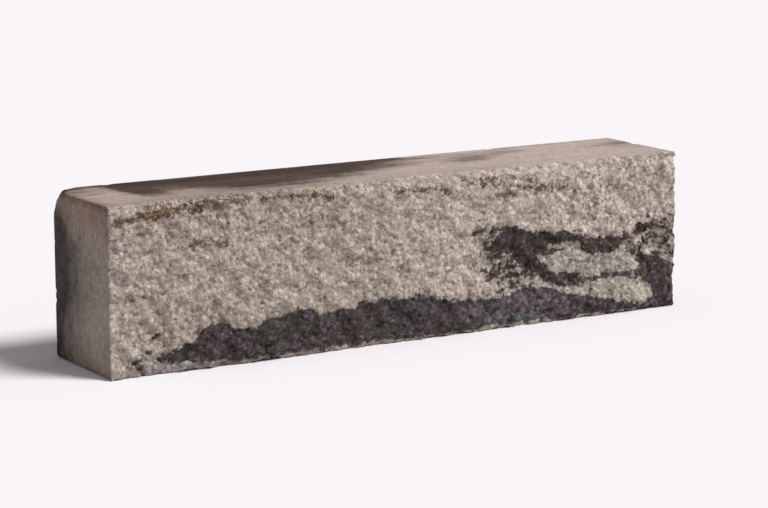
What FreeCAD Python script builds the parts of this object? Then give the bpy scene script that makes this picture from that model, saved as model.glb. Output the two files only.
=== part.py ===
"""One retaining wall block: a solid unit of dry-cast concrete, pressed smooth on five sides and split rough on its face.

The block lies as it is laid in a wall. +X runs along the course, +Z is up and the split face looks towards -Y.
The origin is the centre of the bed, the flat underside. Lengths are in millimetres.
"""

import FreeCAD
import Part

import math
import os
import random

# Sizes of the pressed body
block_length = 400.0  # along X, from end to end
block_height = 100.0  # along Z, one course
pressed_depth = 74.0  # along Y, from the back to the edge of the split face
arris_radius = 2.0  # worn edges between two pressed sides

# Sizes of the split face
crown_height = 2.4  # how far the middle of the face stands out from its edges
crown_run = 8.0  # distance from an edge over which the face rises to its crown
lump_height = 1.65  # largest hump or hollow of the fracture, either way
edge_waver = 0.9  # how far the edge of the face itself wanders, either way
lump_pitch = 6.5  # from one hump or hollow to the next
swell_height = 1.0  # long, low waves of the fracture, either way
swell_length = 130.0  # from one long wave to the next
swell_slant = 0.7  # how far a long wave leans along the course as it climbs
fracture_seed = 41

# Allowances for the stock that the fracture splits off
fracture_overrun = 20.0  # how far the fracture runs past the body on each side
waste_thickness = 12.0  # stock left in front of the highest hump

back_y = pressed_depth / 2.0
edge_y = -pressed_depth / 2.0
stock_y = edge_y - crown_height - lump_height - swell_height - waste_thickness


def pressed_body():
    """The pressed stock, rounded along its eight pressed edges and not yet split at the front."""
    corner = FreeCAD.Vector(-block_length / 2.0, stock_y, 0.0)
    stock = Part.makeBox(block_length, back_y - stock_y, block_height, corner)
    pressed_edges = [edge for edge in stock.Edges if edge.BoundBox.YMax > edge_y]
    return stock.makeFillet(arris_radius, pressed_edges)


def edge_distance(x, z):
    """Distance inwards from the nearest edge of the face, and 0 outside it."""
    inwards = min(block_length / 2.0 - abs(x), z, block_height - z)
    return max(inwards, 0.0)


def stand_out(x, z, chance):
    """How far the split face stands out from its edges at one point."""
    rise = math.sin(math.pi / 2.0 * min(edge_distance(x, z) / crown_run, 1.0))
    swell = swell_height * math.sin(2.0 * math.pi * (x + swell_slant * z) / swell_length)
    lump = edge_waver + (lump_height - edge_waver) * rise
    return rise * (crown_height + swell) + lump * chance.uniform(-1.0, 1.0)


def fracture_surface():
    """One smooth surface through a grid of humps and hollows, wider and taller than the body."""
    chance = random.Random(fracture_seed)
    width = block_length + 2.0 * fracture_overrun
    height = block_height + 2.0 * fracture_overrun
    columns = round(width / lump_pitch)
    rows = round(height / lump_pitch)
    grid = []
    for column in range(columns + 1):
        x = -width / 2.0 + width * column / columns
        heights = [-fracture_overrun + height * row / rows for row in range(rows + 1)]
        grid.append([FreeCAD.Vector(x, edge_y - stand_out(x, z, chance), z) for z in heights])
    surface = Part.BSplineSurface()
    surface.interpolate(grid)
    return surface


def split_waste():
    """Everything in front of the fracture, as one solid that the split takes away."""
    forwards = FreeCAD.Vector(0.0, 2.0 * (stock_y - edge_y), 0.0)
    return fracture_surface().toShape().extrude(forwards)


def wall_block():
    """The finished block, one solid."""
    return pressed_body().cut(split_waste()).Solids[0]


os.makedirs("parts", exist_ok=True)
wall_block().exportStep("parts/wall_block.step")
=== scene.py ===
"""Looks of one retaining wall block: a solid unit of blended dry-cast concrete, split rough on its face."""

import math
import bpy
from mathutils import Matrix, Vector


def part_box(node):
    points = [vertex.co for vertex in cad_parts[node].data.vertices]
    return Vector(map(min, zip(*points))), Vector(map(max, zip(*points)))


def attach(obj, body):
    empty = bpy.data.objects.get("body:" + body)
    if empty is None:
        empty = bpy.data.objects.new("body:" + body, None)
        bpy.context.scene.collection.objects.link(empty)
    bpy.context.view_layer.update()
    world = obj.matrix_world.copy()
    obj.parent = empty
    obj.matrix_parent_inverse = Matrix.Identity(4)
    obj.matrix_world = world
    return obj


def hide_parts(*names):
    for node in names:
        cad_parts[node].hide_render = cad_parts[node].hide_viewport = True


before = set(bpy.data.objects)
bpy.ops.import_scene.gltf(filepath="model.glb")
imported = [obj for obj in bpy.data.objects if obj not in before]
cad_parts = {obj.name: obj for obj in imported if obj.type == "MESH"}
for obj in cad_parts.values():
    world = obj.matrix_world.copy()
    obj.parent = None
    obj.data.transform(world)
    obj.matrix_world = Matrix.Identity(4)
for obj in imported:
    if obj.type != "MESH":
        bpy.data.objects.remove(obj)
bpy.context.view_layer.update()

from types import SimpleNamespace

import bmesh
import bpy
from mathutils import Vector

low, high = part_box("wall_block")


# The camera stands where the photograph was taken: left of the unit's middle and a little above its top face.
# A longer lens takes in just the one unit, with the same perspective.
picture_width = 768  # pixels
focal_pixels = 2660
farthest_seen = 40
camera_place = Vector((-0.836, -1.364, 0.351))
camera_aim = Vector((0.004, 0.0, 0.047))

camera = bpy.data.objects.new("camera", bpy.data.cameras.new("camera"))
camera.data.lens = camera.data.sensor_width * focal_pixels / picture_width
camera.data.clip_end = farthest_seen
camera.location = camera_place
camera.rotation_mode = "QUATERNION"
camera.rotation_quaternion = (camera_aim - camera_place).to_track_quat("-Z", "Y")
bpy.context.scene.collection.objects.link(camera)
bpy.context.scene.camera = camera


# The studio is a wide pale floor under one large soft lamp, high and to the right of the split face.
# An even pale surround fills the shadows, so that a colour renders about as it is written.
def painted(red, green, blue):
    """A colour that is written as it is seen, 0 to 255, as the linear colour that a shader takes."""
    seen = (part / 255 for part in (red, green, blue))
    return (*(part / 12.92 if part <= 0.04045 else ((part + 0.055) / 1.055) ** 2.4 for part in seen), 1.0)


def put(tree, kind, inputs=None, **settings):
    """One new node with its settings, and its inputs filled by identifier with numbers or with outputs."""
    node = tree.nodes.new(kind)
    for name, value in settings.items():
        setattr(node, name, value)
    sockets = {socket.identifier: socket for socket in node.inputs}
    for name, value in (inputs or {}).items():
        if isinstance(value, bpy.types.NodeSocket):
            tree.links.new(value, sockets[name])
        else:
            sockets[name].default_value = value
    return node


floor_reach = 14.0  # from the unit to each side
floor_colour = painted(238, 235, 238)
surround_colour = painted(248, 245, 248)
surround_strength = 0.30
surround_strength_seen = 1.0  # by the camera, behind the unit
lamp_strength = 3.25
lamp_spread = math.radians(22)
lamp_from = Vector((0.40, -0.45, 0.80))

bpy.ops.mesh.primitive_plane_add(size=2 * floor_reach)
floor = bpy.context.object
floor.name = "studio_floor"
floor_paint = bpy.data.materials.new("studio floor")
floor_paint.use_nodes = True
floor_shader = floor_paint.node_tree.nodes["Principled BSDF"]
floor_shader.inputs["Base Color"].default_value = floor_colour
floor_shader.inputs["Roughness"].default_value = 1.0
floor_shader.inputs["Specular IOR Level"].default_value = 0.0
floor.data.materials.append(floor_paint)

lamp = bpy.data.objects.new("soft_lamp", bpy.data.lights.new("soft_lamp", "SUN"))
lamp.data.energy = lamp_strength
lamp.data.angle = lamp_spread
lamp.rotation_mode = "QUATERNION"
lamp.rotation_quaternion = lamp_from.to_track_quat("Z", "Y")
bpy.context.scene.collection.objects.link(lamp)

surround = bpy.data.worlds.new("pale surround")
surround.use_nodes = True
bpy.context.scene.world = surround
sky = surround.node_tree
seen_ray = put(sky, "ShaderNodeLightPath").outputs["Is Camera Ray"]
strengths = {"Factor_Float": seen_ray, "A_Float": surround_strength, "B_Float": surround_strength_seen}
sky_strength = put(sky, "ShaderNodeMix", strengths).outputs[0]
sky.nodes["Background"].inputs["Color"].default_value = surround_colour
sky.links.new(sky_strength, sky.nodes["Background"].inputs["Strength"])
bpy.context.scene.view_settings.view_transform = "Standard"


# The unit is one solid casting of dry concrete, pressed in a steel mould and then split along its face.
# Its five pressed sides are smooth and close, and its arrises are worn. The split face breaks round sand and
# small stones, and wherever an arris has chipped the same raw grain shows.

# Its form, by the names under which the tree takes it: a seed for its chance shapes, and sizes in metres
form_sizes = {
    "Seed": 4.0,
    "Arris wear": 0.0014,
    "Chip depth": 0.0036,
    "Chip length": 0.013,
    "Corner wear": 0.0066,
    "Lump length": 0.0045,
    "Lump height": 0.0026,
    "Stone width": 0.0044,
    "Stone height": 0.0011,
    "Pit width": 0.0048,
    "Pit depth": 0.0011,
    "Skin wave": 0.00022,
    "Pore width": 0.0065,
    "Pore depth": 0.0008,
}
millimetre = 0.001
cell_width = 0.00075  # of the even mesh that the casting is remade from
most_triangles = 194000
nibble_length = 0.0045  # from one ragged bite in an arris to the next
nibble_depth = 0.0045  # how far the raw grain crumbles back behind the split face at most
whole_end = (0.001, 0.012)  # this crumbling sets in between these distances from the left-hand end
raw_rim = (0.0003, 0.0014)  # the raw grain gives way to skin between these depths
chip_rim = (0.0004, 0.0011)  # and shows again where an arris is cut back by as much as this
knocked_rim = (0.005, 0.018)  # the knocked corner is worn in full nearer than the one, and ends at the other
hard_worn = 0.012  # how far behind the split face its arrises are worn harder
lump_pull = (0.7, 1.0, 1.0)  # how the lumps are drawn out along their lean
lump_stretch = 1.3  # the creases between lumps are this many times as long as the lumps
fracture_lean = math.radians(-32)  # of the lumps, down to the right
shake_length = 0.003  # stones and pits are bent out of line over this length
shake = 0.0016  # and by this much
skin_wave_length = 0.022
ray_inset = 0.0003  # the ray that finds the split face keeps this far inside the unit's outline


def reckon(tree, operation, *terms):
    """The result of one sum on numbers."""
    names = ("Value", "Value_001", "Value_002")
    return put(tree, "ShaderNodeMath", dict(zip(names, terms)), operation=operation).outputs["Value"]


def reckon_places(tree, operation, *terms):
    """The result of one sum on places or directions."""
    names = ("Vector", "Vector_001", "Vector_002")
    node = put(tree, "ShaderNodeVectorMath", dict(zip(names, terms)), operation=operation)
    return node.outputs["Value" if operation in ("LENGTH", "DISTANCE", "DOT_PRODUCT") else "Vector"]


def split_up(tree, place):
    """The three parts of a place, a direction or a colour."""
    return put(tree, "ShaderNodeSeparateXYZ", {"Vector": place}).outputs


def placed(tree, x, y, z):
    """The place that three parts give."""
    return put(tree, "ShaderNodeCombineXYZ", {"X": x, "Y": y, "Z": z}).outputs[0]


def eased(tree, value, start, end, at_start=0.0, at_end=1.0):
    """A smooth change from one value to another as something passes from start to end."""
    ends = {"Value": value, "From Min": start, "From Max": end, "To Min": at_start, "To Max": at_end}
    return put(tree, "ShaderNodeMapRange", ends, interpolation_type="SMOOTHSTEP").outputs["Result"]


def blended(tree, share, first, second):
    """Between two numbers, by a share from 0 to 1."""
    return put(tree, "ShaderNodeMix", {"Factor_Float": share, "A_Float": first, "B_Float": second}).outputs[0]


def held(tree, value, least, most):
    """A number that is kept between two others."""
    return put(tree, "ShaderNodeClamp", {"Value": value, "Min": least, "Max": most}).outputs[0]


def per_length(tree, size):
    """How many of a size go into one length, which is how a texture takes its size."""
    if isinstance(size, bpy.types.NodeSocket):
        return reckon(tree, "DIVIDE", 1.0, size)
    return 1 / size


def cloudy(tree, place, size, turn, detail=2.0, output="Fac", roughness=0.5):
    """Soft clouds about one size across, from 0 to 1. Another turn gives other clouds."""
    scale = per_length(tree, size)
    inputs = {"Vector": place, "W": turn, "Scale": scale, "Detail": detail, "Roughness": roughness}
    return put(tree, "ShaderNodeTexNoise", inputs, noise_dimensions="4D").outputs[output]


def grains(tree, place, size):
    """Random grains about one size across: how far off its grain's middle a point is, and what it draws."""
    node = put(tree, "ShaderNodeTexVoronoi", {"Vector": place, "Scale": per_length(tree, size)})
    return node.outputs["Distance"], split_up(tree, node.outputs["Color"])


def split_face_y(tree, place, solid):
    """Where the split face lies along Y in front of or behind a point, found by a ray from the front."""
    x = held(tree, place["X"], low.x + ray_inset, high.x - ray_inset)
    z = held(tree, place["Z"], low.z + ray_inset, high.z - ray_inset)
    start = placed(tree, x, low.y * 2, z)
    ray = {"Target Geometry": solid, "Source Position": start, "Ray Direction": (0.0, 1.0, 0.0)}
    hit = put(tree, "GeometryNodeRaycast", ray).outputs["Hit Position"]
    return split_up(tree, hit)["Y"]


def worn_back(tree, given, here, place, face_y, depth, nibbles, knocked):
    """Where a point goes as its arris wears, ragged at the size of a grain, with chips here and there."""
    wear = reckon(tree, "MULTIPLY", eased(tree, nibbles, 0.3, 0.7, 0.4, 1.7), given["Arris wear"])
    wear = reckon(tree, "MULTIPLY", wear, eased(tree, depth, 0.0, hard_worn, 1.5, 1.0))
    chips = cloudy(tree, here, given["Chip length"], given["Seed"], 1.5)
    chips = reckon(tree, "MULTIPLY", eased(tree, chips, 0.52, 0.7), given["Chip depth"])
    chips = reckon(tree, "MULTIPLY", chips, eased(tree, nibbles, 0.3, 0.7, 0.5, 1.4))
    chips = reckon(tree, "MULTIPLY", chips, reckon(tree, "SUBTRACT", 1.0, knocked))
    corner = reckon(tree, "MULTIPLY", knocked, given["Corner wear"])
    wear = reckon(tree, "ADD", reckon(tree, "ADD", wear, chips), corner)

    # With the face laid flat, the unit is a plain box. Its heart is that box less the wear on every side, and
    # no point stays further from the heart than the wear.
    laid = placed(tree, place["X"], depth, place["Z"])
    far = placed(tree, high.x, reckon(tree, "SUBTRACT", high.y, face_y), high.z)
    heart_low = reckon_places(tree, "ADD", (low.x, 0.0, low.z), wear)
    heart_high = reckon_places(tree, "SUBTRACT", far, wear)
    heart = reckon_places(tree, "MINIMUM", reckon_places(tree, "MAXIMUM", laid, heart_low), heart_high)
    outward = reckon_places(tree, "SUBTRACT", laid, heart)
    share = reckon(tree, "DIVIDE", wear, reckon_places(tree, "LENGTH", outward))
    share = reckon(tree, "MINIMUM", share, 1.0)
    worn = reckon_places(tree, "MULTIPLY_ADD", outward, share, heart)
    return reckon_places(tree, "ADD", worn, placed(tree, 0.0, face_y, 0.0))


def raw_relief(tree, given, here, second_turn):
    """How far the humps, stones and pits of the raw grain stand out."""
    lean = {"Vector": here, "Angle": fracture_lean}
    leaning = put(tree, "ShaderNodeVectorRotate", lean, rotation_type="Y_AXIS").outputs[0]
    drawn_out = reckon_places(tree, "MULTIPLY", leaning, lump_pull)
    lumps = cloudy(tree, drawn_out, given["Lump length"], given["Seed"], 4.0, roughness=0.66)
    creases = reckon(tree, "MULTIPLY", given["Lump length"], lump_stretch)
    creases = cloudy(tree, drawn_out, creases, second_turn, 2.0)
    creases = reckon(tree, "ABSOLUTE", reckon(tree, "SUBTRACT", creases, 0.5))
    creases = eased(tree, creases, 0.0, 0.09, -0.15, 0.03)
    lumps = reckon(tree, "ADD", reckon(tree, "SUBTRACT", lumps, 0.5), creases)
    lumps = reckon(tree, "MULTIPLY", lumps, given["Lump height"])

    shaken = cloudy(tree, here, shake_length, given["Seed"], 1.0, "Color")
    shaken = reckon_places(tree, "MULTIPLY_ADD", shaken, (shake,) * 3, here)
    off_middle, draws = grains(tree, shaken, given["Stone width"])
    swell = eased(tree, off_middle, 0.05, 0.62, 1.0, 0.0)
    stand = reckon(tree, "MULTIPLY_ADD", draws["X"], 2.0, -0.9)
    stones = reckon(tree, "MULTIPLY", reckon(tree, "MULTIPLY", swell, stand), given["Stone height"])

    off_middle, draws = grains(tree, shaken, given["Pit width"])
    pits = eased(tree, off_middle, 0.08, 0.42, 1.0, 0.0)
    pits = reckon(tree, "MULTIPLY", pits, eased(tree, draws["Y"], 0.74, 0.95))
    pits = reckon(tree, "MULTIPLY", pits, given["Pit depth"])
    return reckon(tree, "SUBTRACT", reckon(tree, "ADD", lumps, stones), pits)


def skin_relief(tree, given, here):
    """The slow waves and open pores of the pressed skin, which only go inwards."""
    wave = cloudy(tree, here, skin_wave_length, given["Seed"], 3.0)
    wave = reckon(tree, "MULTIPLY", wave, given["Skin wave"])
    off_middle, draws = grains(tree, here, given["Pore width"])
    pores = eased(tree, off_middle, 0.08, 0.26, 1.0, 0.0)
    pores = reckon(tree, "MULTIPLY", pores, eased(tree, draws["Z"], 0.62, 0.9))
    pores = reckon(tree, "MULTIPLY", pores, given["Pore depth"])
    return reckon(tree, "SUBTRACT", reckon(tree, "MULTIPLY", wave, -1.0), pores)


def split_and_weathered():
    """The tree that turns the moulded body into the split, chipped and pitted unit."""
    tree = bpy.data.node_groups.new("split and weathered unit", "GeometryNodeTree")
    faces = tree.interface
    faces.new_socket("Unit", in_out="OUTPUT", socket_type="NodeSocketGeometry")
    faces.new_socket("Moulded body", in_out="INPUT", socket_type="NodeSocketGeometry")
    faces.new_socket("Split solid", in_out="INPUT", socket_type="NodeSocketObject")
    faces.new_socket("Concrete", in_out="INPUT", socket_type="NodeSocketMaterial")
    for name in form_sizes:
        faces.new_socket(name, in_out="INPUT", socket_type="NodeSocketFloat")
    given = put(tree, "NodeGroupInput").outputs
    here = put(tree, "GeometryNodeInputPosition").outputs["Position"]
    normal = put(tree, "GeometryNodeInputNormal").outputs["Normal"]
    place = split_up(tree, here)

    # The split face, the worn arrises and the one knocked corner
    solid = put(tree, "GeometryNodeObjectInfo", {"Object": given["Split solid"]}).outputs["Geometry"]
    face_y = split_face_y(tree, place, solid)
    depth = reckon(tree, "SUBTRACT", place["Y"], face_y)
    second_turn = reckon(tree, "ADD", given["Seed"], 7.0)
    nibbles = cloudy(tree, here, nibble_length, second_turn, 3.0)
    knocked = reckon_places(tree, "DISTANCE", here, (low.x, high.y, high.z))
    knocked = eased(tree, knocked, *knocked_rim, 1.0, 0.0)
    worn = worn_back(tree, given, here, place, face_y, depth, nibbles, knocked)

    # Where the raw grain shows: all over the split face, and in the chips
    crumbled = eased(tree, nibbles, 0.38, 0.66, 0.0, nibble_depth)
    away = eased(tree, place["X"], low.x + whole_end[0], low.x + whole_end[1])
    crumbled = reckon(tree, "MULTIPLY", crumbled, away)
    raw_face = eased(tree, reckon(tree, "SUBTRACT", depth, crumbled), *raw_rim, 1.0, 0.0)
    chipped = eased(tree, reckon_places(tree, "DISTANCE", worn, here), *chip_rim)
    chipped = reckon(tree, "MULTIPLY", chipped, reckon(tree, "MULTIPLY_ADD", knocked, -0.85, 1.0))
    raw = reckon(tree, "MAXIMUM", raw_face, chipped)

    relief = blended(tree, raw, skin_relief(tree, given, here), raw_relief(tree, given, here, second_turn))
    finished = reckon_places(tree, "MULTIPLY_ADD", normal, relief, worn)
    finished = reckon_places(tree, "MAXIMUM", finished, tuple(low))
    finished = reckon_places(tree, "MINIMUM", finished, tuple(high))

    # What the paint needs to know: the raw grain, the level faces, and how far a point stands out
    level = eased(tree, reckon(tree, "ABSOLUTE", split_up(tree, normal)["Z"]), 0.5, 0.85)
    standing = reckon(tree, "DIVIDE", relief, millimetre)
    unit = given["Moulded body"]
    for name, value in (("raw_grain", raw), ("level_face", level), ("standing", standing)):
        stored = {"Geometry": unit, "Name": name, "Value": value}
        store = put(tree, "GeometryNodeStoreNamedAttribute", stored, data_type="FLOAT", domain="POINT")
        unit = store.outputs[0]
    unit = put(tree, "GeometryNodeSetPosition", {"Geometry": unit, "Position": finished}).outputs[0]
    unit = put(tree, "GeometryNodeSetShadeSmooth", {"Geometry": unit}).outputs[0]
    unit = put(tree, "GeometryNodeRealizeInstances", {"Geometry": unit}).outputs[0]
    unit = put(tree, "GeometryNodeSetMaterial", {"Geometry": unit, "Material": given["Concrete"]}).outputs[0]
    put(tree, "NodeGroupOutput", {tree.interface.items_tree["Unit"].identifier: unit})
    return tree


# Three mixes of concrete go into its mould together and are only half blended. Buff makes up most of it.
# Charcoal lies in ragged bands and swirls, and brown in thin streaks. The mould drags them into smears.
# The strokes run along X in millimetres, and each step of one gives the heights between which it lies.
charcoal_strokes = [
    [(-172, 9, 11), (-162, 7, 14), (-151, 6, 16), (-145, 5, 21), (-130, 4, 26.5), (-120, 3, 22),
     (-110, 3, 21.5), (-103, 3, 25), (-88, 3, 26), (-74, 3, 29), (-62, 2.5, 24), (-45, 2.2, 25), (-12, 2, 29),
     (10, 1.5, 27), (30, 2, 22.5), (60, 2.5, 20.5), (80, 2.5, 24.5), (94, 2, 24), (105, 1.5, 20.5),
     (118, 1.5, 16.5), (140, 1.5, 13), (154, 1.5, 8.5), (172, 1, 4.5), (186, 1, 2)],
    [(-190, 8, 10), (-185, 7.5, 11), (-180, 9, 10.5)],
    [(-187, 4, 5), (-184, 3.5, 6), (-181, 4.5, 5.5)],
    [(-178, 13.5, 14.5), (-176, 13, 16), (-174, 14, 15)],
    [(-173, 21, 22), (-171, 21.5, 24), (-169, 23, 24)],
    [(43, 60.5, 62), (54, 61, 64), (64, 60, 64.5), (76, 57, 63)],
    [(51, 50, 52.5), (58, 48, 55.5), (64, 47, 62), (72, 46, 63), (82, 44, 61), (92, 44, 59), (101, 49, 58),
     (112, 50, 57), (120, 50, 55.5), (125, 43, 54), (131, 40.5, 51.5), (150, 41, 51), (157, 47, 52),
     (166, 50, 53), (172, 50, 56), (178, 52, 57), (186, 51, 54), (215, 49.5, 51)],
    [(90, 43.5, 50), (100, 44, 48.5), (110, 45.5, 46.5)],
    [(75, 43, 48), (82, 35, 48), (88, 33, 46), (93, 29, 41), (99, 26, 35), (106, 23, 31), (114, 22, 31),
     (124, 23, 29), (132, 24, 27.5), (150, 24, 27), (162, 23, 27), (172, 22, 31)],
    [(61, 44, 47), (70, 43, 47), (80, 42, 46)],
    [(63, 36.5, 39), (72, 37, 40), (84, 36, 41)],
    [(64, 31, 33), (74, 31, 35), (86, 33, 37)],
    [(64, 24.5, 26), (70, 24, 27.5), (77, 25, 26.5)],
]
# This one climbs the right-hand end, so it runs up Z with the X between which it lies
charcoal_column = [(-12, 165, 215), (4, 171, 215), (10, 183, 215), (16, 178, 215), (22, 170, 204),
                   (28, 171, 198), (34, 168, 184), (39, 168, 172), (46, 171, 173)]
charcoal_mottling = [
    [(160, 36, 50), (168, 34, 56), (176, 33, 59), (192, 28, 57), (215, 24, 54)],
    [(50, 40, 56), (64, 22, 60), (92, 24, 50)],
]
charcoal_haze = [
    [(176, 42, 50), (184, 33, 60), (215, 24, 64)],
    [(46, 50, 60), (56, 36, 61), (68, 30, 50), (78, 28, 34)],
]
brown_strokes = [
    [(-197, 90, 93.5), (-185, 89.7, 94.8), (-170, 90.5, 97.5), (-150, 92.6, 98.2), (-130, 93, 98.9),
     (-115, 94.6, 98.2), (-101, 95, 96.2), (-90, 94.8, 97.6), (-75, 93.5, 97.5), (-54, 92, 94)],
    [(-15, 92.1, 93.8), (6, 90.8, 93), (29, 89, 91)],
    [(38, 93.2, 94.1), (58, 91.4, 91.8), (82, 87, 87.8), (96, 84.5, 87.6), (111, 84, 85.2)],
    [(61, 83, 85), (75, 83, 86)],
    [(46, 94.3, 95), (62, 93.8, 94.9), (86, 91.3, 92.1)],
    [(-149, 75, 77.2), (-138, 74.2, 76.8), (-127, 72.8, 74.8)],
]
green_islands = [
    [(92, 35, 42), (104, 31, 45), (112, 31, 49), (121, 30, 49), (126, 30, 42), (150, 29, 40), (157, 29, 46),
     (166, 31, 47), (170, 36, 42)],
]
cream_islands = [
    [(110, 19, 21), (130, 15, 22.5), (150, 10, 23), (164, 7, 20), (173, 5, 15), (188, 4, 8)],
    [(62, 27, 31), (78, 27, 31), (90, 26, 31), (99, 22, 26)],
]
plum_strokes = [
    [(-142, 10, 15), (-130, 8, 22), (-120, 7, 20), (-110, 8, 13)],
    [(44, 10, 15), (62, 9, 20), (84, 9, 23), (100, 6, 20), (118, 3, 16), (138, 2, 13), (156, 1, 9)],
    [(60, 52, 60), (72, 50, 60), (84, 52, 58)],
]
olive_strokes = [
    [(-176, 6, 12), (-160, 4, 14), (-148, 3, 10)],
    [(-102, 8, 18), (-84, 8, 24), (-62, 6, 16)],
]
ashy_strokes = [[(34, 4, 12), (50, 4, 18), (70, 4, 21), (92, 5, 22), (114, 5, 16)]]
teal_strokes = [[(48, 0.5, 6), (62, 0.5, 10), (80, 0.5, 10), (102, 1, 7)]]
lilac_strokes = [[(-192, 0, 3), (-182, 0, 7), (-166, 0, 7), (-150, 0, 6), (-120, 0, 5), (-90, 0, 4)]]

# Behind these lines the heart of the casting is charcoal. Each step gives a place and the Y of the line
# there: along X for the top and for the foot, and up Z for the left-hand end.
heart_line_top = [(-200, 24), (-191, 16), (-182, 21), (-170, 6), (-160, -12), (-150, -10), (-142, -2),
                  (-122, -12), (-90, -22), (-40, -14), (10, 4), (60, 25), (100, 50), (200, 60)]
heart_line_foot = [(-200, 11), (-150, 12), (-100, 5), (-40, 10), (20, 30), (80, 50), (200, 55)]
heart_line_end = [(0, 20), (8, 21), (20, 21), (30, 17), (42, 10), (52, 11), (60, 8), (72, 9), (80, 16),
                  (90, 28), (100, 35)]
# The middle of that end is paler near its foot, which is painted light against the floor's shade, and deeper
# at half height, in hundredths, up Z
end_tone = [(0, 20), (12, 22), (24, 18), (36, 3), (50, -12), (64, -9), (78, 0), (92, 7), (100, 7)]

buff = painted(165, 152, 141)
rosy_buff = painted(169, 155, 145)
grey_buff = painted(160, 148, 136)
green_buff = painted(142, 135, 124)
cream_buff = painted(156, 148, 134)
lilac_buff = painted(142, 134, 134)
charcoal = painted(64, 57, 56)
umber_charcoal = painted(55, 45, 42)
plum_charcoal = painted(71, 60, 65)
olive_charcoal = painted(62, 61, 54)
ashy_charcoal = painted(90, 82, 85)
teal_charcoal = painted(84, 89, 94)
slate_charcoal = painted(62, 61, 60)
brown = painted(105, 82, 58)
olive_brown = painted(98, 85, 58)
dark_brown = painted(62, 48, 34)
rosy_skin = painted(168, 150, 141)
brown_skin = painted(58, 40, 30)
worn_brown_skin = painted(104, 86, 74)
olive_skin = painted(104, 96, 84)
rust_skin = painted(147, 115, 93)
deep_rust_skin = painted(104, 76, 56)
ashy_skin = painted(72, 58, 58)
umber_skin = painted(50, 36, 33)
quartz = painted(206, 198, 188)
# Dark specks, and painted shade in the hollows of fallen stones
dark_speck_and_hollow_shade = painted(78, 67, 57)

# Sizes of its grain and of its drifts of tone, in millimetres
sand_width = 1.25
grit_width = 3.2
fine_width = 0.7
wobble_length = 1.6  # grains are bent out of line over this length
wobble_reach = 0.7  # and by this much
tear_length = 5.0  # of the ragged edge between two mixes on the split face
tear_reach = 14.0
smear_reach = 50.0  # of the dragged edge between two mixes on a pressed side
grainy_length = 4.5  # of the finer ragged edge that goes with it
grainy_reach = 30.0
raw_softness = 0.8  # half the width over which two mixes blend on the split face
skin_softness = 17.0  # and on a pressed side
wander_length = 30.0  # the lines of the dark heart wander off over this length
wander_reach = 40.0
blotch_width = 15.0
drift_length = 45.0
second_drift_length = 28.0
mottle_width = 3.4
line_width = 0.9  # of the fine lines that the mould draws on the pressed sides
left_end_rim = (-198.0, -186.0)  # the left-hand end gives way to the long sides between these, along X
heart_rim = (76.0, 96.0)  # the heart's line at the foot gives way to the one on top between these heights
cap_height = 91.0  # the rust at the top of the left-hand end starts this high, halfway back
cap_rise = 0.16  # and this much higher for each millimetre towards the back
fade_start = 35.0  # the strokes of the split face begin to thin out this far in front of the middle
fade_rate = 0.4  # how much thinner they are for each millimetre behind that
upright_pull = (1.0, 1.0, 0.45)  # how patterns are drawn out on the ends and the back
level_pull = (0.2, 1.0, 1.0)  # and on the top and the bed
wander_pull = (0.5, 1.0, 1.0)  # along the unit the heart's lines wander over twice the length
upright_smear = (9, 9, 18)  # from here on, sizes along X, Y and Z
level_smear = (50, 7, 7)
upright_comb = (1.6, 1.6, 40)
level_comb = (60, 2.2, 1)
hidden_clouds = (90, 45, 34)
pale_patches = (75, 60, 26)

# Strengths of its light and shade, and of its surface
sand_shade = 0.30
grit_shade = 0.38
mottle_shade = 0.9
comb_shade = 0.44
standing_shade = 0.13  # for each millimetre that a point stands out
upright_shade = -0.24
shade_tint = (0.95, 1.0, 1.12)
skin_roughness = 0.72
raw_roughness = 0.9
gloss = 0.35


def profile(tree, along, points):
    """A value that changes along the unit or up it, drawn through a few points."""
    start, end = points[0][0], points[-1][0]
    lowest = min(value for at, value in points)
    reach = max(value for at, value in points) + 1.0 - lowest
    share = put(tree, "ShaderNodeMapRange", {"Value": along, "From Min": start, "From Max": end}).outputs[0]
    node = put(tree, "ShaderNodeFloatCurve", {"Value": share})
    curve = node.mapping.curves[0]
    places = [((at - start) / (end - start), (value - lowest) / reach) for at, value in points]
    for at, value in places[1:-1]:
        curve.points.new(at, value)
    curve.points[0].location, curve.points[-1].location = places[0], places[-1]
    for point in curve.points:
        point.handle_type = "AUTO_CLAMPED"
    node.mapping.update()
    return reckon(tree, "MULTIPLY_ADD", node.outputs["Value"], reach, lowest)


def stroke(tree, along, across, points):
    """How far inside a stroke a point lies, in millimetres."""
    middle = profile(tree, along, [(at, (first + last) / 2) for at, first, last in points])
    half = profile(tree, along, [(at, (last - first) / 2) for at, first, last in points])
    off_middle = reckon(tree, "ABSOLUTE", reckon(tree, "SUBTRACT", across, middle))
    inside = reckon(tree, "SUBTRACT", half, off_middle)
    inside = reckon(tree, "MINIMUM", inside, reckon(tree, "SUBTRACT", along, points[0][0]))
    return reckon(tree, "MINIMUM", inside, reckon(tree, "SUBTRACT", points[-1][0], along))


def strokes(tree, point, several):
    """How far inside the nearest of several strokes of the split face a point lies."""
    inside = stroke(tree, point.place["X"], point.place["Z"], several[0])
    for points in several[1:]:
        another = stroke(tree, point.place["X"], point.place["Z"], points)
        inside = reckon(tree, "MAXIMUM", inside, another)
    return inside


def faded(tree, point, inside):
    """The same stroke as it thins out behind the split face."""
    return reckon(tree, "ADD", inside, point.fade)


def blended_places(tree, share, first, second):
    """Between two places or directions, by a share from 0 to 1."""
    inputs = {"Factor_Float": share, "A_Vector": first, "B_Vector": second}
    return put(tree, "ShaderNodeMix", inputs, data_type="VECTOR").outputs[1]


def tinted(tree, share, first, second, blend="MIX"):
    """The first colour with a share of the second, from 0 to 1."""
    inputs = {"Factor_Float": share, "A_Color": first, "B_Color": second}
    return put(tree, "ShaderNodeMix", inputs, data_type="RGBA", blend_type=blend).outputs[2]


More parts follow.
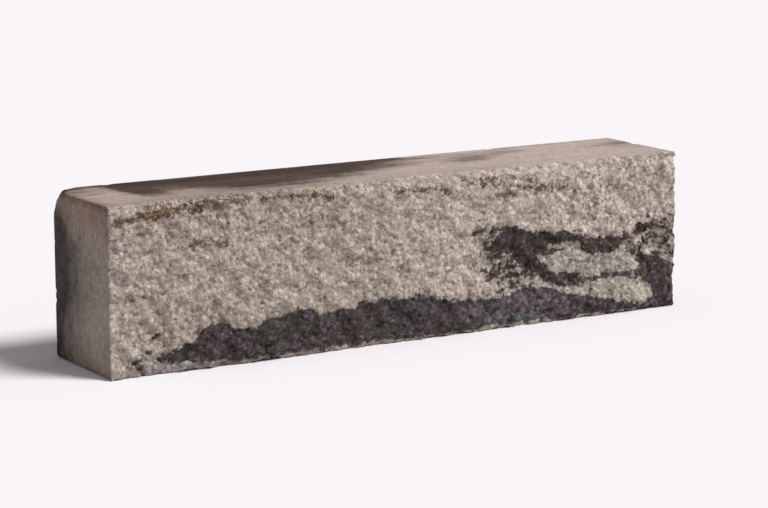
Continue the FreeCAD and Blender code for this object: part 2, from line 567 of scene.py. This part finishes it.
def per_lengths(sizes):
    """How many of each size go into one length."""
    return tuple(1 / size for size in sizes)


def known(tree):
    """What the paint knows of a point: its place in millimetres, what is stored there, and its patterns."""
    point = SimpleNamespace()
    metres = put(tree, "ShaderNodeTexCoord").outputs["Object"]
    point.here = reckon_places(tree, "MULTIPLY", metres, (1 / millimetre,) * 3)
    point.place = split_up(tree, point.here)
    point.raw = put(tree, "ShaderNodeAttribute", attribute_name="raw_grain").outputs["Fac"]
    point.level = put(tree, "ShaderNodeAttribute", attribute_name="level_face").outputs["Fac"]
    point.standing = put(tree, "ShaderNodeAttribute", attribute_name="standing").outputs["Fac"]
    point.skin = reckon(tree, "SUBTRACT", 1.0, point.raw)
    point.level_skin = reckon(tree, "MULTIPLY", point.level, point.skin)
    point.upright_skin = reckon(tree, "MULTIPLY", point.skin, reckon(tree, "SUBTRACT", 1.0, point.level))
    left_end = eased(tree, point.place["X"], *left_end_rim, 1.0, 0.0)
    point.left_end = reckon(tree, "MULTIPLY", point.upright_skin, left_end)

    # On the pressed sides every pattern is drawn out: along the unit on top, and up the mould on the uprights
    pull = blended_places(tree, point.level, upright_pull, level_pull)
    pull = blended_places(tree, point.raw, pull, (1.0, 1.0, 1.0))
    point.drawn = reckon_places(tree, "MULTIPLY", point.here, pull)
    point.drift = cloudy(tree, point.drawn, drift_length, 14.0, 3.0)
    point.second_drift = cloudy(tree, point.drawn, second_drift_length, 17.0, 3.0)
    point.blotch = cloudy(tree, point.here, blotch_width, 23.0, 3.0)

    # Grains of sand and small stones, each with its own draws for its shade
    wobble = cloudy(tree, point.here, wobble_length, 2.0, 1.0, "Color")
    shaken = reckon_places(tree, "MULTIPLY_ADD", wobble, (wobble_reach,) * 3, point.here)
    point.off_sand, point.sand = grains(tree, shaken, sand_width)
    point.off_grit, point.grit = grains(tree, shaken, grit_width)

    # The edge of each mix breaks up grain by grain on the raw face, and is smeared on the pressed sides
    point.lumpy = cloudy(tree, point.here, tear_length, 5.0, 3.0, roughness=0.65)
    ragged = reckon(tree, "MULTIPLY_ADD", point.lumpy, tear_reach, -tear_reach / 2)
    ragged = reckon(tree, "ADD", ragged, reckon(tree, "MULTIPLY_ADD", point.grit["X"], 1.8, -0.9))
    ragged = reckon(tree, "ADD", ragged, reckon(tree, "MULTIPLY_ADD", point.sand["X"], 1.4, -0.7))
    dragged = blended_places(tree, point.level, per_lengths(upright_smear), per_lengths(level_smear))
    smear = cloudy(tree, reckon_places(tree, "MULTIPLY", point.here, dragged), 1.0, 9.0, 3.0)
    smear = reckon(tree, "MULTIPLY_ADD", smear, smear_reach, -smear_reach / 2)
    grainy = cloudy(tree, point.here, grainy_length, 37.0, 4.0, roughness=0.7)
    grainy = reckon(tree, "MULTIPLY_ADD", grainy, grainy_reach, -grainy_reach / 2)
    smear = reckon(tree, "ADD", smear, grainy)
    smear = reckon(tree, "MULTIPLY", smear, 0.75)
    point.edge = blended(tree, point.raw, smear, ragged)
    point.softness = blended(tree, point.raw, skin_softness, raw_softness)
    behind = reckon(tree, "MAXIMUM", reckon(tree, "ADD", point.place["Y"], fade_start), 0.0)
    point.fade = reckon(tree, "MULTIPLY", behind, -fade_rate)
    return point


def spread(tree, point, inside, edge_share=1.0, edge=None):
    """The share of another mix, from how far inside its strokes a point lies."""
    edge = point.edge if edge is None else edge
    inside = reckon(tree, "ADD", inside, reckon(tree, "MULTIPLY", edge, edge_share))
    return eased(tree, inside, reckon(tree, "MULTIPLY", point.softness, -1.0), point.softness)


def charcoal_share(tree, point):
    """The share of charcoal in the split face: its strokes, mottling, haze, soft fringe and flecks."""
    dark = stroke(tree, point.place["Z"], point.place["X"], charcoal_column)
    dark = reckon(tree, "MAXIMUM", strokes(tree, point, charcoal_strokes), dark)
    dark = faded(tree, point, dark)
    share = spread(tree, point, dark, 0.75)
    mottling = reckon(tree, "MINIMUM", strokes(tree, point, charcoal_mottling), 0.0)
    mottling = reckon(tree, "ADD", faded(tree, point, mottling), -0.7)
    share = reckon(tree, "MAXIMUM", share, spread(tree, point, mottling, 1.8))
    haze = reckon(tree, "MULTIPLY_ADD", point.edge, 0.8, strokes(tree, point, charcoal_haze))
    haze = eased(tree, faded(tree, point, haze), -5.0, 5.0, 0.0, 0.42)
    fringe = eased(tree, dark, -4.0, 1.0, 0.0, 0.22)
    share = reckon(tree, "MAXIMUM", share, reckon(tree, "MAXIMUM", haze, fringe))
    flecks = reckon(tree, "MINIMUM", strokes(tree, point, green_islands + cream_islands), 0.0)
    flecks = reckon(tree, "ADD", faded(tree, point, flecks), -2.4)
    flecks = reckon(tree, "MULTIPLY", spread(tree, point, flecks, 1.6), 0.75)
    return reckon(tree, "MAXIMUM", share, flecks)


def brown_share(tree, point):
    """The share of brown, which lies in speckled streaks."""
    speckled = reckon(tree, "MULTIPLY_ADD", point.lumpy, 7.0, -3.5)
    speckled = reckon(tree, "ADD", speckled, reckon(tree, "MULTIPLY_ADD", point.grit["X"], 3.0, -1.5))
    speckled = reckon(tree, "ADD", speckled, reckon(tree, "MULTIPLY_ADD", point.sand["X"], 3.6, -1.8))
    streak = reckon(tree, "ADD", faded(tree, point, strokes(tree, point, brown_strokes)), -0.1)
    share = spread(tree, point, streak, 1.0, speckled)
    return reckon(tree, "MULTIPLY", share, eased(tree, point.grit["Z"], 0.0, 0.9, 0.72, 1.0))


def heart_of_casting(tree, point):
    """How far inside the dark heart of the casting a point lies, and the heart's share of its colour."""
    x, y, z = point.place["X"], point.place["Y"], point.place["Z"]
    wander = reckon_places(tree, "MULTIPLY", point.drawn, wander_pull)
    wander = cloudy(tree, wander, wander_length, 6.0, 4.0)
    wander = reckon(tree, "MULTIPLY_ADD", wander, wander_reach, -wander_reach / 2)
    foot = profile(tree, x, heart_line_foot)
    line = blended(tree, eased(tree, z, *heart_rim), foot, profile(tree, x, heart_line_top))
    shown = reckon(tree, "SUBTRACT", y, line)

    # What the photograph hides goes on in clouds, which keep clear of the split face and of the left-hand end
    hidden = reckon_places(tree, "MULTIPLY", point.here, per_lengths(hidden_clouds))
    hidden = cloudy(tree, hidden, 1.0, 11.0)
    hidden = reckon(tree, "MULTIPLY_ADD", hidden, 110.0, -64.0)
    in_front = reckon(tree, "MAXIMUM", reckon(tree, "MULTIPLY", y, -1.0), 0.0)
    hidden = reckon(tree, "SUBTRACT", hidden, in_front)
    hidden = reckon(tree, "SUBTRACT", hidden, eased(tree, x, -200.0, -150.0, 30.0, 0.0))
    heart = reckon(tree, "ADD", reckon(tree, "MAXIMUM", shown, hidden), wander)

    # Pale patches break it up on the back
    patches = reckon_places(tree, "MULTIPLY", point.here, per_lengths(pale_patches))
    patches = eased(tree, cloudy(tree, patches, 1.0, 19.0, 3.0), 0.47, 0.62, 0.0, 52.0)
    patches = reckon(tree, "MULTIPLY", patches, eased(tree, y, 26.0, 36.0))
    patches = reckon(tree, "MULTIPLY", patches, eased(tree, x, -194.0, -160.0))
    heart = reckon(tree, "SUBTRACT", heart, patches)
    share = reckon(tree, "MULTIPLY", spread(tree, point, heart), blended(tree, point.level, 0.97, 1.0))

    # On the left-hand end it has a line of its own
    end = reckon(tree, "SUBTRACT", y, profile(tree, z, heart_line_end))
    end = eased(tree, reckon(tree, "MULTIPLY_ADD", point.edge, 0.85, end), -12.0, 12.0, 0.0, 0.97)
    return heart, blended(tree, point.left_end, share, end)


def rusty_cap(tree, point):
    """The share of rust at the top of the left-hand end, and of the deeper rust along its top arris."""
    cap = reckon(tree, "SUBTRACT", point.place["Z"], cap_height)
    cap = reckon(tree, "MULTIPLY_ADD", point.place["Y"], -cap_rise, cap)
    off_end = reckon(tree, "MULTIPLY", reckon(tree, "ADD", point.place["X"], 198.0), 3.0)
    cap = reckon(tree, "MULTIPLY_ADD", point.edge, 0.9, reckon(tree, "SUBTRACT", cap, off_end))
    cap = reckon(tree, "MULTIPLY", eased(tree, cap, -9.0, 9.0), point.skin)
    cap = reckon(tree, "MULTIPLY", cap, eased(tree, point.blotch, 0.40, 0.58, 0.5, 1.0))
    arris = reckon(tree, "MULTIPLY", eased(tree, point.place["Z"], 94.0, 98.0), point.left_end)
    arris = reckon(tree, "MULTIPLY", arris, eased(tree, point.blotch, 0.38, 0.56, 0.25, 0.75))
    return reckon(tree, "MULTIPLY", cap, 0.8), arris


def buff_paint(tree, point, heart):
    """The buff mix, drifting between grey and rosy, with its islands and the stains of the pressed skin."""
    paint = tinted(tree, eased(tree, point.drift, 0.35, 0.65), grey_buff, buff)
    paint = tinted(tree, eased(tree, point.second_drift, 0.45, 0.7), paint, rosy_buff)
    green = spread(tree, point, faded(tree, point, strokes(tree, point, green_islands)))
    paint = tinted(tree, reckon(tree, "MULTIPLY", green, 0.7), paint, green_buff)
    cream = spread(tree, point, faded(tree, point, strokes(tree, point, cream_islands)))
    paint = tinted(tree, reckon(tree, "MULTIPLY", cream, 0.8), paint, cream_buff)
    lilac = faded(tree, point, strokes(tree, point, lilac_strokes))
    lilac = reckon(tree, "MULTIPLY_ADD", point.edge, 0.5, lilac)
    paint = tinted(tree, eased(tree, lilac, -4.0, 4.0, 0.0, 0.8), paint, lilac_buff)
    paint = tinted(tree, reckon(tree, "MULTIPLY", point.level_skin, 0.8), paint, rosy_skin)
    halo = reckon(tree, "MULTIPLY", eased(tree, heart, -34.0, -4.0, 0.0, 0.3), point.upright_skin)
    paint = tinted(tree, halo, paint, olive_skin)
    cap, arris = rusty_cap(tree, point)
    paint = tinted(tree, cap, paint, rust_skin)
    return tinted(tree, arris, paint, deep_rust_skin)


def charcoal_paint(tree, point):
    """The charcoal mix of the split face, plain, slate, plum or umber, with its stains of other colours."""
    paint = tinted(tree, eased(tree, point.drift, 0.5, 0.68), charcoal, slate_charcoal)
    paint = tinted(tree, eased(tree, point.second_drift, 0.5, 0.66), paint, plum_charcoal)
    paint = tinted(tree, eased(tree, point.place["Z"], 27.0, 38.0), paint, umber_charcoal)
    stains = ((plum_strokes, plum_charcoal), (olive_strokes, olive_charcoal), (ashy_strokes, ashy_charcoal),
              (teal_strokes, teal_charcoal))
    for stain_strokes, stain in stains:
        inside = faded(tree, point, strokes(tree, point, stain_strokes))
        inside = reckon(tree, "MULTIPLY_ADD", point.edge, 0.6, inside)
        paint = tinted(tree, eased(tree, inside, -4.0, 7.0, 0.0, 0.6), paint, stain)
    return paint


def heart_paint(tree, point):
    """The charcoal of the heart, umber or ashy on the uprights and brown on top."""
    skin = tinted(tree, eased(tree, point.blotch, 0.42, 0.58), ashy_skin, umber_skin)
    paint = tinted(tree, reckon(tree, "MULTIPLY", point.skin, 0.9), charcoal, skin)
    worn = eased(tree, point.second_drift, 0.45, 0.68, 0.0, 0.32)
    return tinted(tree, point.level_skin, paint, tinted(tree, worn, brown_skin, worn_brown_skin))


def hollows(tree, point):
    """The few small stones that have fallen out, from 0 to 1."""
    hollow = eased(tree, point.off_grit, 0.15, 0.42, 1.0, 0.0)
    return reckon(tree, "MULTIPLY", hollow, eased(tree, point.grit["Z"], 0.84, 0.92))


def grain_shade(tree, point, dark):
    """The light and shade of the grain, as a part to add to or take from the colour."""
    x = point.place["X"]
    sand = reckon(tree, "SUBTRACT", point.sand["X"], 0.5)
    grit = reckon(tree, "SUBTRACT", point.grit["Y"], 0.5)
    shade = reckon(tree, "MULTIPLY_ADD", sand, sand_shade, reckon(tree, "MULTIPLY", grit, grit_shade))
    mottle = cloudy(tree, point.drawn, mottle_width, 31.0, 1.5)
    mottle = reckon(tree, "MULTIPLY_ADD", mottle, mottle_shade, -mottle_shade / 2)
    shade = reckon(tree, "ADD", shade, mottle)
    shade = reckon(tree, "ADD", shade, eased(tree, point.off_grit, 0.12, 0.62, 0.24, -0.12))
    shade = reckon(tree, "ADD", shade, eased(tree, point.off_sand, 0.1, 0.6, 0.10, -0.05))

    # It is stronger on the raw grain, towards the right and in the dark mixes
    shade = reckon(tree, "MULTIPLY", shade, blended(tree, point.raw, 0.42, 1.15))
    shade = reckon(tree, "MULTIPLY", shade, eased(tree, x, 20.0, 150.0, 1.0, 1.35))
    shade = reckon(tree, "MULTIPLY", shade, blended(tree, dark, 1.0, 1.7))

    # The mould combs the pressed sides, and humps of the split face catch the light
    combed = blended_places(tree, point.level, per_lengths(upright_comb), per_lengths(level_comb))
    combed = cloudy(tree, reckon_places(tree, "MULTIPLY", point.here, combed), 1.0, 12.0, 3.0)
    combed = reckon(tree, "MULTIPLY_ADD", combed, comb_shade, -comb_shade / 2)
    shade = reckon(tree, "ADD", shade, reckon(tree, "MULTIPLY", combed, point.skin))
    shade = reckon(tree, "ADD", shade, reckon(tree, "MULTIPLY", point.standing, standing_shade))

    # Slow changes of tone along the split face and over the left-hand end
    shade = reckon(tree, "ADD", shade, eased(tree, x, -140.0, 110.0, 0.0, 0.24))
    # A painted highlight runs down the left arris of the split face
    painted_arris_highlight = eased(tree, x, -198.0, -194.0, 0.2, 0.0)
    shade = reckon(tree, "MULTIPLY_ADD", painted_arris_highlight, point.raw, shade)
    pale_left = eased(tree, x, -194.0, -140.0, 0.08, 0.0)
    shade = reckon(tree, "MULTIPLY_ADD", pale_left, point.raw, shade)
    pale_top = eased(tree, x, -190.0, -140.0, 0.07, 0.0)
    shade = reckon(tree, "MULTIPLY_ADD", pale_top, point.level, shade)
    # Painted light lifts the foot of the left-hand end out of the floor's shade, and its middle is deeper at
    # half height
    off_middle = reckon(tree, "ABSOLUTE", reckon(tree, "ADD", point.place["Y"], 8.0))
    end_light = reckon(tree, "MULTIPLY", eased(tree, off_middle, 4.0, 27.0, 0.01, 0.0), point.left_end)
    shade = reckon(tree, "MULTIPLY_ADD", end_light, profile(tree, point.place["Z"], end_tone), shade)
    return reckon(tree, "MULTIPLY_ADD", point.upright_skin, upright_shade, shade)


def concrete_colour(tree, point):
    """The colour of the concrete: its mixes, its single pale and dark grains, the painted shade in its
    hollows, and its light and shade.
    """
    heart, heart_share = heart_of_casting(tree, point)
    dark_share = charcoal_share(tree, point)
    streaks = tinted(tree, eased(tree, point.place["X"], -120.0, -80.0), brown, olive_brown)
    streaks = tinted(tree, point.sand["Y"], streaks, dark_brown)
    colour = tinted(tree, brown_share(tree, point), buff_paint(tree, point, heart), streaks)
    colour = tinted(tree, heart_share, colour, heart_paint(tree, point))
    colour = tinted(tree, dark_share, colour, charcoal_paint(tree, point))

    dark = reckon(tree, "MAXIMUM", dark_share, heart_share)
    pale_grain = eased(tree, point.sand["Y"], 0.9, 0.99)
    pale_grain = reckon(tree, "MULTIPLY", pale_grain, blended(tree, point.raw, 0.12, 0.38))
    pale_grain = reckon(tree, "MULTIPLY", pale_grain, blended(tree, dark, 1.0, 0.22))
    colour = tinted(tree, pale_grain, colour, quartz)
    dark_grain = eased(tree, point.sand["Z"], 0.92, 0.98)
    dark_grain = reckon(tree, "MULTIPLY", dark_grain, blended(tree, point.raw, 0.2, 0.55))
    colour = tinted(tree, dark_grain, colour, dark_speck_and_hollow_shade)
    # The hollows of fallen stones are darkened as well: painted shade in the pits, over their bump
    hollow = reckon(tree, "MULTIPLY", hollows(tree, point), blended(tree, point.raw, 0.25, 0.6))
    colour = tinted(tree, hollow, colour, dark_speck_and_hollow_shade)
    shade = grain_shade(tree, point, dark)
    shade = reckon_places(tree, "MULTIPLY_ADD", shade, shade_tint, (1.0,) * 3)
    return tinted(tree, 1.0, colour, shade, "MULTIPLY")


def finest_grain(tree, point):
    """The height of the grain that is too fine for the mesh: sand and stones, or the mould's fine lines."""
    fine = cloudy(tree, point.here, fine_width, 21.0, 3.0)
    sand = eased(tree, point.off_sand, 0.0, 0.6, 1.0, 0.0)
    sand = reckon(tree, "MULTIPLY", sand, reckon(tree, "MULTIPLY_ADD", point.sand["Y"], 1.4, -0.3))
    stones = eased(tree, point.off_grit, 0.0, 0.62, 1.0, 0.0)
    stones = reckon(tree, "MULTIPLY", stones, reckon(tree, "MULTIPLY_ADD", point.grit["Y"], 1.2, -0.2))
    raw = reckon(tree, "MULTIPLY_ADD", sand, 0.45, reckon(tree, "MULTIPLY", fine, 0.35))
    raw = reckon(tree, "ADD", raw, reckon(tree, "MULTIPLY", stones, 0.75))
    raw = reckon(tree, "SUBTRACT", raw, reckon(tree, "MULTIPLY", hollows(tree, point), 0.9))
    lines = cloudy(tree, point.drawn, line_width, 25.0, 3.0)
    skin = reckon(tree, "MULTIPLY_ADD", fine, 0.16, reckon(tree, "MULTIPLY", lines, 0.18))
    return blended(tree, point.raw, skin, raw)


def blended_concrete():
    """The material of the unit: rough all over, and a little closer where the mould pressed it."""
    material = bpy.data.materials.new("blended concrete")
    material.use_nodes = True
    tree = material.node_tree
    shader = tree.nodes["Principled BSDF"]
    point = known(tree)
    tree.links.new(concrete_colour(tree, point), shader.inputs["Base Color"])
    roughness = blended(tree, point.raw, skin_roughness, raw_roughness)
    roughness = reckon(tree, "MULTIPLY_ADD", point.sand["Z"], 0.08, roughness)
    tree.links.new(roughness, shader.inputs["Roughness"])
    shader.inputs["Specular IOR Level"].default_value = gloss
    bump = {"Strength": 1.0, "Distance": millimetre, "Height": finest_grain(tree, point)}
    bump = put(tree, "ShaderNodeBump", bump).outputs["Normal"]
    tree.links.new(bump, shader.inputs["Normal"])
    return material


# The casting starts as the cast solid itself, with its loose triangles joined. It is remade from even cells,
# so that the finish has points to move, is split and weathered, and is thinned again to a fair weight.
def triangles(mesh):
    """How many triangles a mesh comes to."""
    return sum(len(face.vertices) - 2 for face in mesh.polygons)


same_point = 1e-6  # corners nearer than this are one
joined = bmesh.new()
joined.from_mesh(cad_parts["wall_block"].data)
bmesh.ops.remove_doubles(joined, verts=joined.verts, dist=same_point)
moulded_body = bpy.data.meshes.new("moulded_body")
joined.to_mesh(moulded_body)
joined.free()
casting = bpy.data.objects.new("casting", moulded_body)
bpy.context.scene.collection.objects.link(casting)

remade = casting.modifiers.new("even mesh", "REMESH")
remade.mode = "VOXEL"
remade.voxel_size = cell_width
weathered = casting.modifiers.new("split and weathered", "NODES")
weathered.node_group = split_and_weathered()
taken = {"Split solid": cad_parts["wall_block"], "Concrete": blended_concrete(), **form_sizes}
for name, value in taken.items():
    weathered[weathered.node_group.interface.items_tree[name].identifier] = value

graph = bpy.context.evaluated_depsgraph_get()
all_triangles = triangles(casting.evaluated_get(graph).data)
thinned = casting.modifiers.new("thinned", "DECIMATE")
thinned.ratio = min(1.0, most_triangles / all_triangles)
graph = bpy.context.evaluated_depsgraph_get()
weathered_casting = casting.evaluated_get(graph)
unit_mesh = bpy.data.meshes.new_from_object(weathered_casting, preserve_all_data_layers=True, depsgraph=graph)
bpy.data.objects.remove(casting)

# Thinning can push a point past the mould by a hair, so every point is brought back inside the cast box
for point in unit_mesh.vertices:
    point.co = [min(max(at, least), most) for at, least, most in zip(point.co, low, high)]
concrete_unit = bpy.data.objects.new("concrete_unit", unit_mesh)
bpy.context.scene.collection.objects.link(concrete_unit)
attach(concrete_unit, "root")
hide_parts("wall_block")
